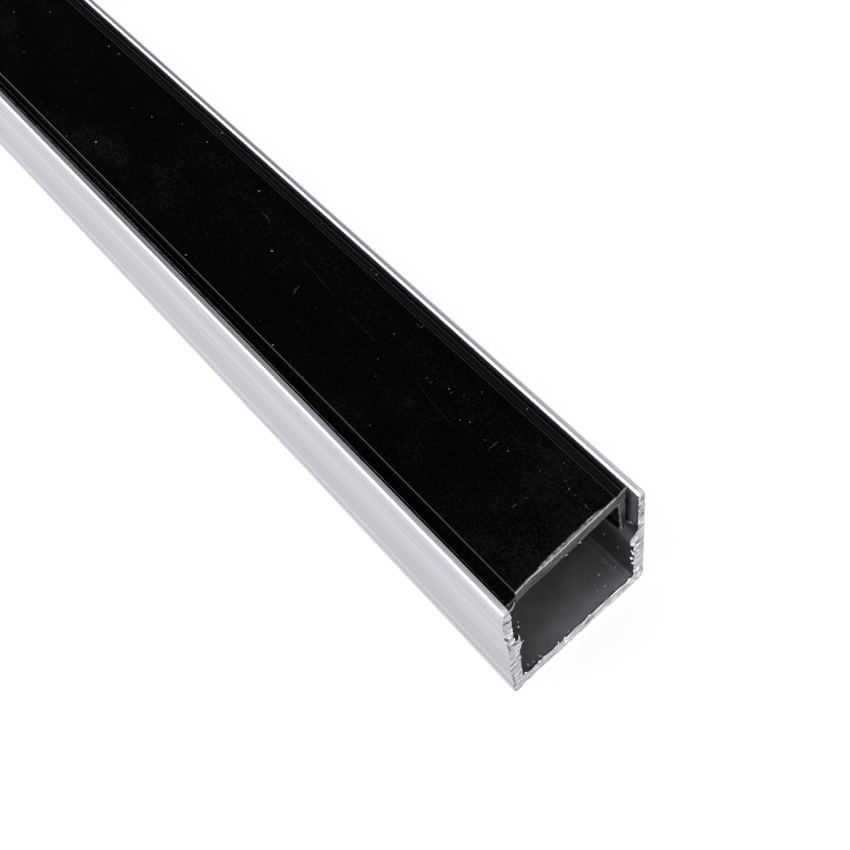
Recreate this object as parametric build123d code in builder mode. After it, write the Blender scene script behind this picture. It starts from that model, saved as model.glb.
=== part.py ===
from build123d import *
import os

# An aluminium channel of U section, with a plastic cover clipped in between its walls.
# Lengths are in millimetres: X runs along the bar, Y across it, and Z up from the middle of its base.

# The channel's outline
length = 500.0
width = 17.0
height = 15.0
floor_thickness = 1.6
lower_wall_thickness = 1.3
upper_wall_thickness = 0.78

# The rib inside each wall: a slope that runs down from the upper wall to the tip, and back to the lower wall
rib_reach = 1.12
rib_slope_top = 9.3
rib_tip_height = 8.35
rib_foot_height = 6.8

# The channel's rounded corners
base_corner_round = 0.8
outer_lip_round = 0.3
inner_lip_round = 0.25
inner_corner_round = 0.8
rib_tip_round = 0.15

# The cover: a plate with a lower flange along each side, and a leg under each side
cover_setback = 1.0
cover_side_clearance = 0.32
cover_drop = 0.15
plate_thickness = 1.15
flange_width = 1.12
flange_step = 0.6
flange_round = 0.2
leg_inset = 0.1
leg_thickness = 0.78

# The leg's foot: a barb towards the wall, with a seat cut to the slope of the rib
barb_wall_clearance = 0.22
barb_reach = 0.15
barb_land = 0.4
barb_taper = 0.6
seat_width = 0.3
foot_width = 0.75

# Faces of the right half of the channel, measured from the middle plane
outer_face = width / 2
upper_face = outer_face - upper_wall_thickness
lower_face = outer_face - lower_wall_thickness
rib_tip = upper_face - rib_reach
rib_slope = (rib_slope_top - rib_tip_height) / rib_reach

# Faces of the right half of the cover
flange_edge = upper_face - cover_side_clearance
plate_edge = flange_edge - flange_width
leg_outer = flange_edge - leg_inset
leg_inner = leg_outer - leg_thickness
barb_face = upper_face - barb_wall_clearance
barb_neck = barb_face - barb_reach
seat_inner = barb_face - seat_width
foot_inner = seat_inner - foot_width

# Heights of the cover, from its top down to the seat on the rib
plate_top = height - cover_drop
flange_top = plate_top - flange_step
plate_underside = plate_top - plate_thickness
seat_top = rib_tip_height + (barb_face - rib_tip) * rib_slope
foot_height = rib_tip_height + (seat_inner - rib_tip) * rib_slope
barb_top = seat_top + barb_land
neck_height = barb_top + barb_taper


def both_sides(right_side):
    """Returns the points of the right half followed by their mirror images, in order round the outline."""
    return right_side + [(-across, up) for across, up in reversed(right_side)]


def round_corners(section, across, up, radius):
    """Rounds the corner of the section nearest to the given point, and the one opposite."""
    for side in (-1, 1):
        corner = section.vertices().sort_by_distance((side * across, up))[0]
        fillet(corner, radius=radius)


os.makedirs("parts", exist_ok=True)

# The channel, one extrusion
with BuildPart() as channel:
    with BuildSketch(Plane.YZ.offset(-length / 2)) as channel_section:
        with BuildLine():
            Polyline(
                *both_sides(
                    [
                        (outer_face, 0),
                        (outer_face, height),
                        (upper_face, height),
                        (upper_face, rib_slope_top),
                        (rib_tip, rib_tip_height),
                        (lower_face, rib_foot_height),
                        (lower_face, floor_thickness),
                    ]
                ),
                close=True,
            )
        make_face()
        round_corners(channel_section, outer_face, 0, base_corner_round)
        round_corners(channel_section, outer_face, height, outer_lip_round)
        round_corners(channel_section, upper_face, height, inner_lip_round)
        round_corners(channel_section, rib_tip, rib_tip_height, rib_tip_round)
        round_corners(channel_section, lower_face, floor_thickness, inner_corner_round)
    extrude(amount=length)
channel.part.label = "channel"
export_step(channel.part, "parts/channel.step")

# The cover, one plastic extrusion that rests its feet on the ribs
with BuildPart() as cover:
    with BuildSketch(Plane.YZ.offset(cover_setback - length / 2)) as cover_section:
        with BuildLine():
            Polyline(
                *both_sides(
                    [
                        (plate_edge, plate_top),
                        (plate_edge, flange_top),
                        (flange_edge, flange_top),
                        (flange_edge, plate_underside),
                        (leg_outer, plate_underside),
                        (barb_neck, neck_height),
                        (barb_face, barb_top),
                        (barb_face, seat_top),
                        (seat_inner, foot_height),
                        (foot_inner, foot_height),
                        (leg_inner, plate_underside),
                    ]
                ),
                close=True,
            )
        make_face()
        round_corners(cover_section, flange_edge, flange_top, flange_round)
    extrude(amount=length - 2 * cover_setback)
cover.part.label = "cover"
export_step(cover.part, "parts/cover.step")
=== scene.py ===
"""Dresses an aluminium channel and its black clip-in cover, and lights them on a pale studio floor.

Sizes in the classes are in millimetres, and each mesh is scaled to metres when it is finished.
X runs along the bar, Y across it and Z up from the middle of its base.
"""
import logging
import math
import random
from dataclasses import dataclass, field
from enum import Enum
from typing import Any, ClassVar

import bmesh
import bpy
from bmesh.types import BMesh, BMFace, BMVert
from mathutils import Matrix, Vector, noise


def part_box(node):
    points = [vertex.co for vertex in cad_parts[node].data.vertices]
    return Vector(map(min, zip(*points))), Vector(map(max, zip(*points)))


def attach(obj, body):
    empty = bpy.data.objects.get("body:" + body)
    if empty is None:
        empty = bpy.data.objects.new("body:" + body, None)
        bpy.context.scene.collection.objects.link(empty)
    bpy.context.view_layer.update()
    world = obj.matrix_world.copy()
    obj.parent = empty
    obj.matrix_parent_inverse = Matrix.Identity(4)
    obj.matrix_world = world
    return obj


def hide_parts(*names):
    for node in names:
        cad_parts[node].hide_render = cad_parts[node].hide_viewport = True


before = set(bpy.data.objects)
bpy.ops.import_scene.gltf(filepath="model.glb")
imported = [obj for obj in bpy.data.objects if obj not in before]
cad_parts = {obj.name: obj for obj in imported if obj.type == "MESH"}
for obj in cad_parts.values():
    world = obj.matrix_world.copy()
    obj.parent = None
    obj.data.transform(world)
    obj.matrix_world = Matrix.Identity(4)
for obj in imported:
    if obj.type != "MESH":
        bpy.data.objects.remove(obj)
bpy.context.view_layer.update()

MM = 0.001
# Most values of a noise lie in this span
NOISE_SPAN = (0.3, 0.7)
# A sliver's tip is this share of its width
SLIVER_TIP = 0.12
LOG = logging.getLogger("channel_bar")

Colour = tuple[float, float, float, float]
Point = tuple[float, float]
Point3 = tuple[float, float, float]
Corner = tuple[float, float, float]
Socket = bpy.types.NodeSocket


class End(Enum):
    """The two sawn ends of the bar, by the sign of X."""

    NEAR = 1
    FAR = -1


class Face(Enum):
    """The material slots of a drawn bar."""

    OUTSIDE = 0
    INSIDE = 1
    SAWN = 2


class Ripple(Enum):
    """The noises that roughen a cut and break up the painted shade along its rim: offset of each, and its
    turns to the millimetre across and up.
    """

    SWAY = (0, 0.45, 0.6)
    CREASE = (7, 0.8, 4.2)
    FINE = (13, 2.4, 8.0)
    NICK = (31, 0.9, 2.3)
    CHIP = (51, 1.9, 1.9)
    RIM_SHADE = (63, 1.1, 1.1)
    BURR = (71, 2.7, 2.7)
    RAGGED = (90, 0.8, 0.8)
    CRUMB = (95, 3.4, 3.4)
    STREAK = (97, 0.7, 4.5)


def grey(level: float, blue: float = 0.0) -> Colour:
    """Returns an opaque grey, with a little more blue where asked."""
    return (level, level, level * (1 + blue), 1.0)


def ease(value: float) -> float:
    """Returns value held between 0 and 1, with a soft start and end."""
    held = min(1.0, max(0.0, value))
    return held * held * (3 - 2 * held)


class NodeBench:
    """Lays out the shader nodes of one material or world."""

    def __init__(self, owner: bpy.types.Material | bpy.types.World) -> None:
        """Empties the owner's node tree.

        Args:
            owner: The material or world to lay nodes out for.
        """
        owner.use_nodes = True
        self.tree = owner.node_tree
        self.tree.nodes.clear()

    def add(self, kind: str, inputs: dict[str | int, Any] | None = None, **settings: Any) -> bpy.types.Node:
        """Adds a node.

        Args:
            kind: The node's type, without its prefix.
            inputs: Values or sockets for the node's inputs, by name or number.
            settings: Properties of the node.

        Returns:
            The new node.
        """
        node = self.tree.nodes.new("ShaderNode" + kind)
        for key, value in settings.items():
            setattr(node, key, value)
        for key, value in (inputs or {}).items():
            if isinstance(value, Socket):
                self.tree.links.new(value, node.inputs[key])
            else:
                node.inputs[key].default_value = value
        return node

    def place(self) -> Socket:
        """Returns the object's own coordinates."""
        return self.add("TexCoord").outputs["Object"]

    def attribute(self, name: str) -> Socket:
        """Returns a value that the piece's points carry."""
        return self.add("Attribute", attribute_name=name).outputs["Fac"]

    def clouds(self, place: Socket, scale: Point3, detail: float = 2.0, rough: float = 0.5) -> Socket:
        """Makes a noise.

        Args:
            place: The place on the piece.
            scale: Its turns to the metre along, across and up.
            detail: How many finer noises it adds.
            rough: How strongly it adds them.

        Returns:
            A value between 0 and 1.
        """
        vector = self.add("Mapping", {"Vector": place, "Scale": scale}).outputs["Vector"]
        inputs = {"Vector": vector, "Scale": 1.0, "Detail": detail, "Roughness": rough}
        return self.add("TexNoise", inputs).outputs[0]

    def span(self, value: Socket, start: Point, end: Point) -> Socket:
        """Maps a value, held within its span.

        Args:
            value: The socket to map.
            start: Lowest and highest value taken.
            end: What those become.

        Returns:
            The mapped value.
        """
        inputs = {0: value, 1: start[0], 2: start[1], 3: end[0], 4: end[1]}
        return self.add("MapRange", inputs, clamp=True).outputs[0]

    def span_mm(self, value: Socket, start: Point, end: Point) -> Socket:
        """Maps a length as span does, with its lowest and highest value in millimetres."""
        return self.span(value, (start[0] * MM, start[1] * MM), end)

    def varied(self, value: Socket, share: float) -> Socket:
        """Returns a factor that a noise moves away from 1 by a share."""
        return self.span(value, NOISE_SPAN, (1 - share, 1 + share))

    def sum_up(self, operation: str, first: Socket | float, second: Socket | float) -> Socket:
        """Returns the result of a math operation on two values."""
        return self.add("Math", {0: first, 1: second}, operation=operation).outputs[0]

    def times(self, first: Socket | float, second: Socket | float) -> Socket:
        """Returns two values multiplied."""
        return self.sum_up("MULTIPLY", first, second)

    def most(self, first: Socket | float, second: Socket | float) -> Socket:
        """Returns the larger of two values."""
        return self.sum_up("MAXIMUM", first, second)

    def away(self, value: Socket, middle: float = 0.0) -> Socket:
        """Returns how far a value is from its middle."""
        return self.sum_up("ABSOLUTE", self.sum_up("SUBTRACT", value, middle), 0.0)

    def axis(self, vector: Socket, name: str) -> Socket:
        """Returns one component of a vector."""
        return self.add("SeparateXYZ", {0: vector}).outputs[name]

    def ramp(self, value: Socket, stops: list[tuple[float, Colour]]) -> Socket:
        """Returns the colour of a ramp at a value between 0 and 1.

        Args:
            value: Where on the ramp.
            stops: Places and colours, in order.

        Returns:
            The colour.
        """
        node = self.add("ValToRGB", {0: value})
        elements = node.color_ramp.elements
        elements[0].position, elements[0].color = stops[0]
        elements[1].position, elements[1].color = stops[-1]
        for where, colour in stops[1:-1]:
            elements.new(where).color = colour
        return node.outputs[0]

    def blend(self, factor: Socket | float, first: Any, second: Any, how: str = "MIX") -> Socket:
        """Blends two colours.

        Args:
            factor: How far the second colour comes in.
            first: The colour to start from.
            second: The colour that comes in.
            how: The way of blending.

        Returns:
            The blended colour.
        """
        node = self.add("Mix", data_type="RGBA", blend_type=how)
        for index, value in ((0, factor), (6, first), (7, second)):
            if isinstance(value, Socket):
                self.tree.links.new(value, node.inputs[index])
            else:
                node.inputs[index].default_value = value
        return node.outputs[2]

    def bump(self, height: Socket, strength: float, depth: float) -> Socket:
        """Returns a normal bent by a height, with depth in millimetres."""
        inputs = {"Height": height, "Strength": strength, "Distance": depth * MM}
        return self.add("Bump", inputs).outputs[0]

    def surface(self, inputs: dict[str | int, Any]) -> None:
        """Ends the material in one principled shader with these inputs."""
        shader = self.add("BsdfPrincipled", inputs)
        self.add("OutputMaterial", {"Surface": shader.outputs[0]})

    def seen_directly(self) -> Socket:
        """Tells which rays show the backdrop: those from the camera, a reflection or a clear material.

        Returns:
            1 for these rays, and 0 for the others.
        """
        path = self.add("LightPath").outputs
        mirrored = self.most(path["Is Glossy Ray"], path["Is Transmission Ray"])
        return self.most(path["Is Camera Ray"], mirrored)


@dataclass(frozen=True)
class ExtrudedAluminium:
    """Satin aluminium with fine lines along the bar, and bands of brightness up the wall: the broad pale
    bands that a die leaves, and in places painted light and shade.

    Scales are in turns to the metre along, across and up. Other sizes are in millimetres.

    Attributes:
        name: The material's name.
        bands: Height and brightness of the bands up the wall.
        blue: How much bluer than grey the metal is.
        roughness: Lowest and highest roughness.
        lines: How strongly the fine lines show in the colour.
        streaks: How strongly the broader streaks show.
        relief: How strongly the fine lines stand out of the surface.
        height: Height of the wall.
        gloss_above: Height above which the metal is glossier.
        mouth: How far from its ends light and shade are painted into the chamber.
    """

    STREAK_SCALE: ClassVar[Point3] = (18, 2600, 2600)
    LINE_SCALE: ClassVar[Point3] = (14, 5200, 5200)
    LINE_DEPTH: ClassVar[float] = 0.004
    BLOTCH_SCALE: ClassVar[Point3] = (45, 160, 160)
    BLOTCH_SPAN: ClassVar[Point] = (0.35, 0.65)
    BLOTCH_SHARES: ClassVar[Point] = (0.98, 1.02)
    GLOSS_EDGE: ClassVar[float] = 0.1
    GLOSS_SHARE: ClassVar[float] = 0.72
    MOUTH_END: ClassVar[float] = 249.0
    FLOOR_SIDES: ClassVar[Point] = (-6.0, 6.0)
    FLOOR_SHARES: ClassVar[Point] = (0.5, 1.35)
    RIB_TOP: ClassVar[Point] = (9.2, 9.6)
    UPPER_SHARE: ClassVar[float] = 2.0
    MOTTLE_SCALE: ClassVar[Point3] = (260, 160, 160)
    MOTTLE_SHARES: ClassVar[Point] = (0.72, 1.22)
    # Colour of the painted shade along the chamber's inner edges
    RIM_SHADE: ClassVar[float] = 0.015

    name: str
    bands: tuple[Point, ...]
    blue: float = 0.085
    roughness: Point = (0.34, 0.43)
    lines: float = 0.08
    streaks: float = 0.08
    relief: float = 0.25
    height: float = 15.0
    gloss_above: float = 20.0
    mouth: float = 0.0

    def material(self) -> bpy.types.Material:
        """Lays out the material.

        Returns:
            The new material.
        """
        made = bpy.data.materials.new(self.name)
        bench = NodeBench(made)
        place = bench.place()
        broad = bench.clouds(place, self.STREAK_SCALE, 3, 0.6)
        fine = bench.clouds(place, self.LINE_SCALE, 3, 0.6)
        blotch = bench.clouds(place, self.BLOTCH_SCALE, 2)
        level = bench.axis(place, "Z")
        up = bench.span_mm(level, (0, self.height), (0, 1))
        bands = bench.ramp(up, [(at / self.height, grey(bright, self.blue)) for at, bright in self.bands])
        tone = bench.times(bench.varied(fine, self.lines), bench.varied(broad, self.streaks))
        tone = bench.times(tone, bench.span(blotch, self.BLOTCH_SPAN, self.BLOTCH_SHARES))
        rough = bench.span(fine, NOISE_SPAN, self.roughness)
        edge = (self.gloss_above, self.gloss_above + self.GLOSS_EDGE)
        polish = bench.span_mm(level, edge, (1.0, self.GLOSS_SHARE))
        colour = bench.blend(1.0, bands, tone, "MULTIPLY")
        bench.surface({
            "Base Color": self.painted_chamber_light(bench, place, colour) if self.mouth else colour,
            "Metallic": 1.0,
            "Roughness": bench.times(rough, polish),
            "Normal": bench.bump(fine, self.relief, self.LINE_DEPTH),
        })
        return made

    def painted_chamber_light(self, bench: NodeBench, place: Socket, colour: Socket) -> Socket:
        """Paints light and shade into the inside of a channel towards its mouth: painted shade to the left,
        painted light to the right and high up, and painted shade along its inner edges.

        Args:
            bench: The material's nodes.
            place: The place on the piece.
            colour: The colour of the clean metal.

        Returns:
            The shaded colour.
        """
        # Painted light and shade near the mouth: darker to the left, paler to the right and above the rib,
        # mottled at random.
        along = bench.away(bench.axis(place, "X"))
        near = bench.span_mm(along, (self.MOUTH_END - self.mouth, self.MOUTH_END), (0, 1))
        low = bench.span_mm(bench.axis(place, "Y"), self.FLOOR_SIDES, self.FLOOR_SHARES)
        high = bench.span_mm(bench.axis(place, "Z"), self.RIB_TOP, (0, 1))
        share = bench.blend(near, grey(1.0), bench.blend(high, low, grey(self.UPPER_SHARE)))
        mottle = bench.clouds(place, self.MOTTLE_SCALE, 5, 0.65)
        share = bench.blend(1.0, share, bench.span(mottle, NOISE_SPAN, self.MOTTLE_SHARES), "MULTIPLY")
        shaded = bench.blend(1.0, colour, share, "MULTIPLY")
        # Painted shade along the inner edges, where the layer is set
        return bench.blend(bench.attribute("painted_shade_and_grime"), shaded, grey(self.RIM_SHADE))


@dataclass(frozen=True)
class SawnAluminium:
    """Bright torn aluminium of a saw cut, with streaks across the bar, and painted shade and grime darkening
    its nicks, deeper saw marks and scratches.

    Scales are in turns to the metre along, across and up.

    Attributes:
        name: The material's name.
        dark: Brightness where the layer darkens the cut, painted shade and grime together.
        bright: Brightness of the clean metal.
    """

    STREAK_SCALE: ClassVar[Point3] = (700, 420, 3600)
    STREAK_SHARES: ClassVar[tuple[Point, ...]] = (
        (0.30, 0.34), (0.41, 0.84), (0.55, 1.06), (0.63, 1.35), (0.69, 1.75),
    )
    STREAK_DEPTH: ClassVar[float] = 0.03
    PATCH_SCALE: ClassVar[Point3] = (500, 500, 900)
    PATCH_SPAN: ClassVar[Point] = (0.4, 0.62)
    PATCH_COVER: ClassVar[float] = 0.3
    PATCH_SHARE: ClassVar[float] = 0.8
    CRUMB_SCALE: ClassVar[Point3] = (2600, 2600, 4200)
    CRUMBS: ClassVar[float] = 0.2
    ROUGHNESS: ClassVar[Point] = (0.48, 0.26)

    name: str
    dark: float = 0.06
    bright: float = 0.54

    def material(self) -> bpy.types.Material:
        """Lays out the material.

        Returns:
            The new material.
        """
        made = bpy.data.materials.new(self.name)
        bench = NodeBench(made)
        place = bench.place()
        streaks = bench.clouds(place, self.STREAK_SCALE, 3, 0.6)
        patches = bench.clouds(place, self.PATCH_SCALE, 2)
        crumbs = bench.clouds(place, self.CRUMB_SCALE, 2, 0.6)
        levels = [(at, min(1.0, self.bright * share)) for at, share in self.STREAK_SHARES]
        clean = bench.ramp(streaks, [(at, grey(level, 0.05)) for at, level in levels])
        cover = bench.span(patches, self.PATCH_SPAN, (0.0, self.PATCH_COVER))
        clean = bench.blend(cover, clean, grey(self.bright * self.PATCH_SHARE, 0.06))
        clean = bench.blend(1.0, clean, bench.varied(crumbs, self.CRUMBS), "MULTIPLY")
        bench.surface({
            # Painted shade and grime darken the cut where the layer is set
            "Base Color": bench.blend(bench.attribute("painted_shade_and_grime"), clean, grey(self.dark, 0.02)),
            "Metallic": 1.0,
            "Roughness": bench.span(streaks, NOISE_SPAN, self.ROUGHNESS),
            "Normal": bench.bump(streaks, 0.6, self.STREAK_DEPTH),
        })
        return made


@dataclass(frozen=True)
class BlackPlastic:
    """Glossy black plastic that has gathered fine dust, smears and scuff marks, and turned pale where it was
    cut, with a painted reflection on the right flange.

    Scales are in turns to the metre along, across and up. Other sizes are in millimetres.

    Attributes:
        name: The material's name.
        body: Brightness of the clean plastic.
        cut: Brightness of the pale cut.
        shine: How strongly it reflects.
    """

    SMEAR_SCALE: ClassVar[Point3] = (150, 230, 230)
    FILM_SCALE: ClassVar[Point3] = (45, 80, 80)
    MOTTLE_SCALE: ClassVar[Point3] = (4600, 4600, 4600)
    GRAIN_SCALE: ClassVar[Point3] = (2500, 2500, 2500)
    CRUMB_SCALE: ClassVar[Point3] = (5200, 3000, 3000)
    SPECK_SCALE: ClassVar[float] = 900.0
    SPECK_LEVEL: ClassVar[float] = 0.06
    VEIL: ClassVar[Point] = (0.0036, 0.0130)
    END_HAZE: ClassVar[Point] = (238, 248)
    STRIP_MIDDLE: ClassVar[float] = 3.8
    STRIP_EDGE: ClassVar[Point] = (0.6, 1.6)
    RIGHT_LEDGE: ClassVar[Point] = (6.3, 6.4)
    LEDGE_REFLECTION: ClassVar[float] = 0.0095
    LEFT_LEDGE: ClassVar[Point] = (-6.28, -6.27)
    LEDGE_SHINE: ClassVar[float] = 0.2
    GLOSS: ClassVar[Point] = (0.08, 0.19)

    name: str
    body: float = 0.0003
    cut: float = 0.62
    shine: float = 0.42

    def material(self) -> bpy.types.Material:
        """Lays out the material.

        Returns:
            The new material.
        """
        made = bpy.data.materials.new(self.name)
        bench = NodeBench(made)
        place = bench.place()
        across = bench.axis(place, "Y")
        smear = bench.clouds(place, self.SMEAR_SCALE, 4, 0.65)
        mottle = bench.clouds(place, self.MOTTLE_SCALE, 2, 0.6)
        grain = bench.clouds(place, self.GRAIN_SCALE, 2)
        thin, thick = (grey(level) for level in self.VEIL)
        veil = bench.blend(self.haze(bench, place, smear), thin, thick)
        colour = bench.blend(bench.span(mottle, (0.42, 0.66), (0, 1)), grey(self.body), veil)
        # A painted reflection: the right flange is lighter where it would reflect the wall beside it
        ledge_reflection = bench.span_mm(across, self.RIGHT_LEDGE, (0, 0.7))
        colour = bench.blend(ledge_reflection, colour, grey(self.LEDGE_REFLECTION))
        colour = bench.blend(self.specks(bench, place), colour, grey(self.SPECK_LEVEL))
        # The pale layer also carries a painted highlight along the right leg's inner edge on the cut
        pale = bench.attribute("pale")
        colour = bench.blend(self.torn(bench, place, pale, grain), colour, grey(self.cut))
        gloss = bench.span(smear, (0.3, 0.75), self.GLOSS)
        bench.surface({
            "Base Color": colour,
            "Roughness": bench.most(gloss, bench.span(pale, (0.05, 0.4), (0.0, 0.6))),
            "Specular IOR Level": bench.span_mm(
                across, self.LEFT_LEDGE, (self.shine * self.LEDGE_SHINE, self.shine)
            ),
            "Normal": bench.bump(grain, 0.05, 0.01),
        })
        return made

    def haze(self, bench: NodeBench, place: Socket, smear: Socket) -> Socket:
        """Tells how hazy the plastic is: smeared in places, towards the ends and in a strip along the right.

        Args:
            bench: The material's nodes.
            place: The place on the piece.
            smear: The noise of the smears.

        Returns:
            How hazy, from 0 to 1.
        """
        film = bench.clouds(place, self.FILM_SCALE, 2)
        smears = bench.times(bench.span(smear, (0.45, 0.70), (0, 1)), bench.span(film, (0.4, 0.65), (0, 1)))
        ends = bench.span_mm(bench.away(bench.axis(place, "X")), self.END_HAZE, (0, 0.5))
        beside = bench.away(bench.axis(place, "Y"), self.STRIP_MIDDLE * MM)
        strip = bench.span_mm(beside, self.STRIP_EDGE, (0.45, 0))
        strip = bench.times(strip, bench.span(film, (0.3, 0.6), (0, 1)))
        return bench.most(bench.most(smears, ends), strip)

    def specks(self, bench: NodeBench, place: Socket) -> Socket:
        """Scatters fine dust over a few of the cells that divide the surface.

        Args:
            bench: The material's nodes.
            place: The place on the piece.

        Returns:
            1 on a speck, falling to 0 beside it.
        """
        cells = bench.add("TexVoronoi", {"Vector": place, "Scale": self.SPECK_SCALE})
        speck = bench.span(cells.outputs["Distance"], (0.05, 0.10), (1.0, 0.0))
        keep = bench.span(bench.axis(cells.outputs["Color"], "X"), (0.80, 0.98), (0.0, 1.0))
        return bench.times(speck, keep)

    def torn(self, bench: NodeBench, place: Socket, pale: Socket, grain: Socket) -> Socket:
        """Breaks the pale edge of a cut up into crumbs.

        Args:
            bench: The material's nodes.
            place: The place on the piece.
            pale: How pale the plastic is.
            grain: The noise of its grain.

        Returns:
            How far the pale cut shows, from 0 to 1.
        """
        crumbs = bench.clouds(place, self.CRUMB_SCALE, 3, 0.7)
        broken = bench.sum_up("ADD", pale, bench.span(crumbs, (0.25, 0.75), (-0.34, 0.34)))
        crisp = bench.span(broken, (0.30, 0.72), (0, 1))
        return bench.most(crisp, bench.times(pale, bench.span(grain, NOISE_SPAN, (0.4, 0.9))))


@dataclass(frozen=True)
class PaleDust:
    """Dust and lint, pale and dull, each grain a little different.

    Attributes:
        name: The material's name.
        dark: Brightness of the darkest grains.
        bright: Brightness of the palest.
    """

    name: str
    dark: float
    bright: float

    def material(self) -> bpy.types.Material:
        """Lays out the material.

        Returns:
            The new material.
        """
        made = bpy.data.materials.new(self.name)
        bench = NodeBench(made)
        place = bench.place()
        grain = bench.clouds(place, (900, 900, 900), 3)
        shades = [(0.0, grey(self.dark)), (1.0, grey(self.bright))]
        bench.surface({
            "Base Color": bench.ramp(bench.span(grain, NOISE_SPAN, (0, 1)), shades),
            "Roughness": bench.span(grain, NOISE_SPAN, (0.6, 0.9)),
            "Normal": bench.bump(grain, 0.3, 0.01),
        })
        return made


@dataclass(frozen=True)
class Tear:
    """A place where the saw tore a cut back, or left it proud.

    Attributes:
        across: Its middle, across the bar.
        up: Its middle, above the base.
        wide: How far it spreads across.
        tall: How far it spreads up and down.
        depth: How deep it is, or less than nothing where the cut stands proud.
    """

    across: float
    up: float
    wide: float
    tall: float
    depth: float

    def at(self, across: float, up: float) -> float:
        """Returns how deep the tear is at a point of the section."""
        away = ((across - self.across) / self.wide) ** 2 + ((up - self.up) / self.tall) ** 2
        return self.depth * math.exp(-away)


@dataclass(frozen=True)
class Crease:
    """A scratch that one tooth left in a cut, darkened with painted shade and grime.

    Attributes:
        start: One end, across and up.
        end: The other end.
        width: Its width.
        depth: Its depth.
    """

    start: Point
    end: Point
    width: float
    depth: float = 0.08

    def share(self, across: float, up: float) -> float:
        """Tells how near a point of the section is to the scratch.

        Args:
            across: Place across the bar.
            up: Place above the base.

        Returns:
            1 along the scratch, falling to 0 beside it.
        """
        start, end = Vector(self.start), Vector(self.end)
        line = end - start
        along = min(1.0, max(0.0, (Vector((across, up)) - start).dot(line) / line.length_squared))
        return math.exp(-((Vector((across, up)) - start - line * along).length / (self.width / 2)) ** 2)


@dataclass(frozen=True)
class SawCut:
    """One saw cut through a bar: how it lies and how rough it is.

    Attributes:
        end: Which end of the bar it is on.
        reach: How far from the bar's middle it lies at the middle of the base.
        skew: How much further it lies per millimetre across.
        lean: How much further it lies per millimetre up.
        groove: Depth of its saw marks.
        chips: Depth of the chips along its inner edges.
        seed: Offset of its noise.
        tears: Where it is torn back or stands proud.
        creases: Its darkened scratches.
        limit: How far from the bar's middle it may reach.
    """

    TOOTH_PITCH: ClassVar[float] = 0.27
    SWAY: ClassVar[float] = 1.1
    CHUNK: ClassVar[float] = 1.5
    CHUNK_SHIFT: ClassVar[float] = 0.37
    TURN: ClassVar[float] = 0.0525
    TURN_FROM: ClassVar[float] = 4.0

    end: End
    reach: float
    skew: float = 0.0
    lean: float = 0.0
    groove: float = 0.08
    chips: float = 0.16
    seed: float = 0.0
    tears: tuple[Tear, ...] = ()
    creases: tuple[Crease, ...] = ()
    limit: float = 249.98

    def flat(self, across: float, up: float) -> float:
        """Returns how far from the middle a clean cut would lie at a point of the section."""
        return self.reach + self.skew * across + self.lean * up

    def plane(self, across: float, up: float) -> float:
        """Returns how far from the middle the cut lies at a point of the section, without its saw marks."""
        return min(self.limit, self.flat(across, up) - sum(tear.at(across, up) for tear in self.tears))

    def scratch(self, across: float, up: float) -> Point:
        """Returns how dark and how deep the cut is scratched at a point of the section."""
        dark = [(crease.share(across, up), crease.depth) for crease in self.creases]
        return max((share, share * depth) for share, depth in dark) if dark else (0.0, 0.0)

    def ripple(self, kind: Ripple, across: float, up: float, slide: float = 0.0) -> float:
        """Returns the value of a noise at a point of the section, slid along where asked."""
        offset, rate_across, rate_up = kind.value
        return noise.noise(Vector((across * rate_across, up * rate_up + slide, self.seed + offset)))

    def marks(self, across: float, up: float) -> float:
        """Tells how deep the saw marks are at a point of the section.

        Args:
            across: Place across the bar.
            up: Place above the base.

        Returns:
            The depth, from 0 to 1.
        """
        turned = up + self.TURN * max(0.0, across - self.TURN_FROM) ** 2
        row = math.floor(turned / self.TOOTH_PITCH + self.SWAY * self.ripple(Ripple.SWAY, across, up))
        chunk = math.floor(across / self.CHUNK + self.CHUNK_SHIFT * row)
        step = 0.5 + 0.5 * noise.cell(Vector((row + 0.5, chunk + 0.5, self.seed + 0.5)))
        crease = abs(self.ripple(Ripple.CREASE, across, turned)) * 2
        fine = self.ripple(Ripple.FINE, across, turned)
        return min(1.0, max(0.0, 0.62 * step + 0.34 * crease + 0.2 * fine))

    def nicks(self, across: float, up: float) -> float:
        """Returns how deeply a point of the section is nicked, from 0 to 1."""
        return ease((self.ripple(Ripple.NICK, across, up) - 0.08) * 2.4)


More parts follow.
